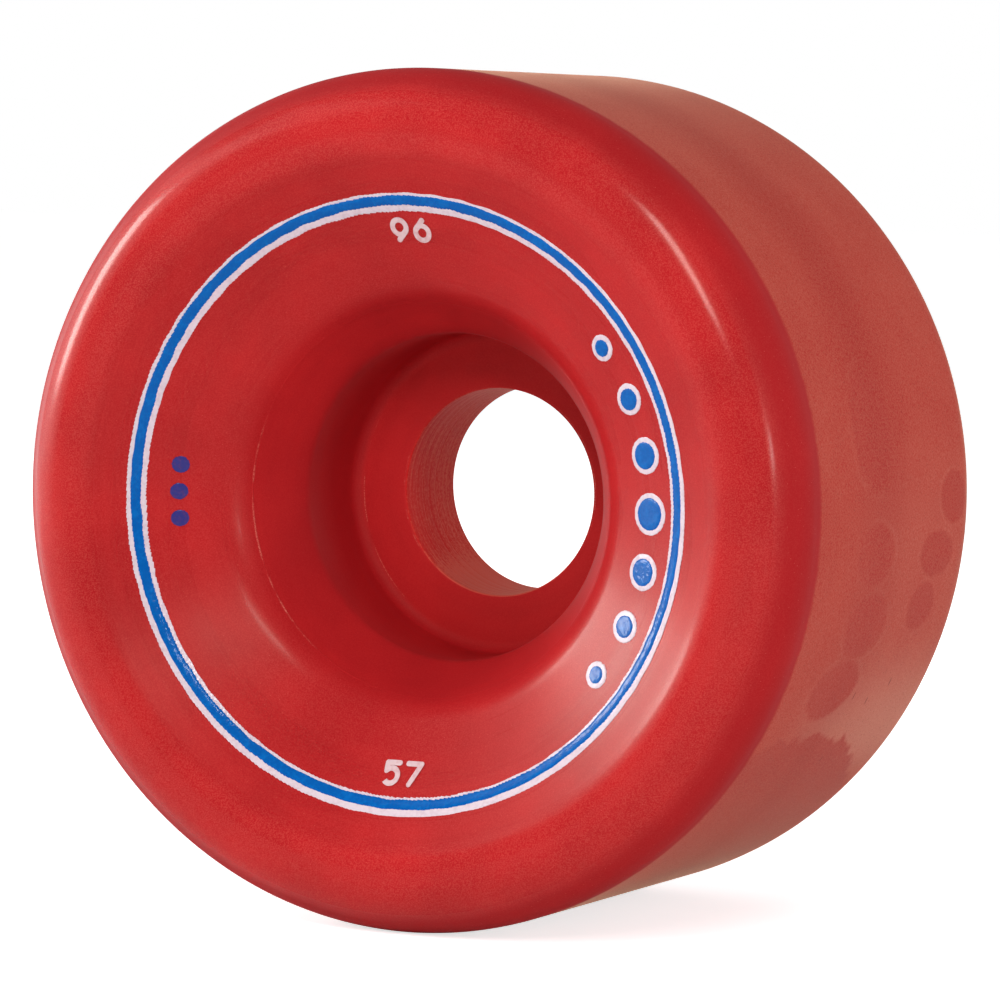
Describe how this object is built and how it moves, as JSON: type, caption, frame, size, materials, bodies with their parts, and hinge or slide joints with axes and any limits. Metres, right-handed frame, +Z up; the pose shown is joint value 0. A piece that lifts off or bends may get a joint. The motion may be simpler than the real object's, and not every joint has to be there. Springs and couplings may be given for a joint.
{
  "type": "roller skate wheel",
  "caption": "Cast urethane roller skate wheel with rounded lips, a dished printed face, press-fit bearing seats on both sides and a hole through the web.",
  "frame": {"origin": "middle of the wheel, on its axis and half way between the crests of the two lips", "axes": "+Y along the spin axis, away from the printed face, which looks along -Y; +Z up with the size figures upright at the bottom of the face; +X to the right of the printed face"},
  "size_m": [0.057, 0.0342, 0.057],
  "materials": {
    "urethane": "glossy cast faces, ground tread and turned hub",
    "white_ink": "satin printing ink",
    "blue_ink": "satin printing ink",
    "dark_blue_ink": "satin printing ink"
  },
  "bodies": {
    "root": {"wheel_body": "urethane", "white_ring": "white_ink", "blue_ring": "blue_ink", "white_dots": "white_ink", "blue_dots": "blue_ink", "side_dots": "dark_blue_ink", "size_number": "white_ink", "hardness_number": "white_ink"}
  },
  "joints": []
}
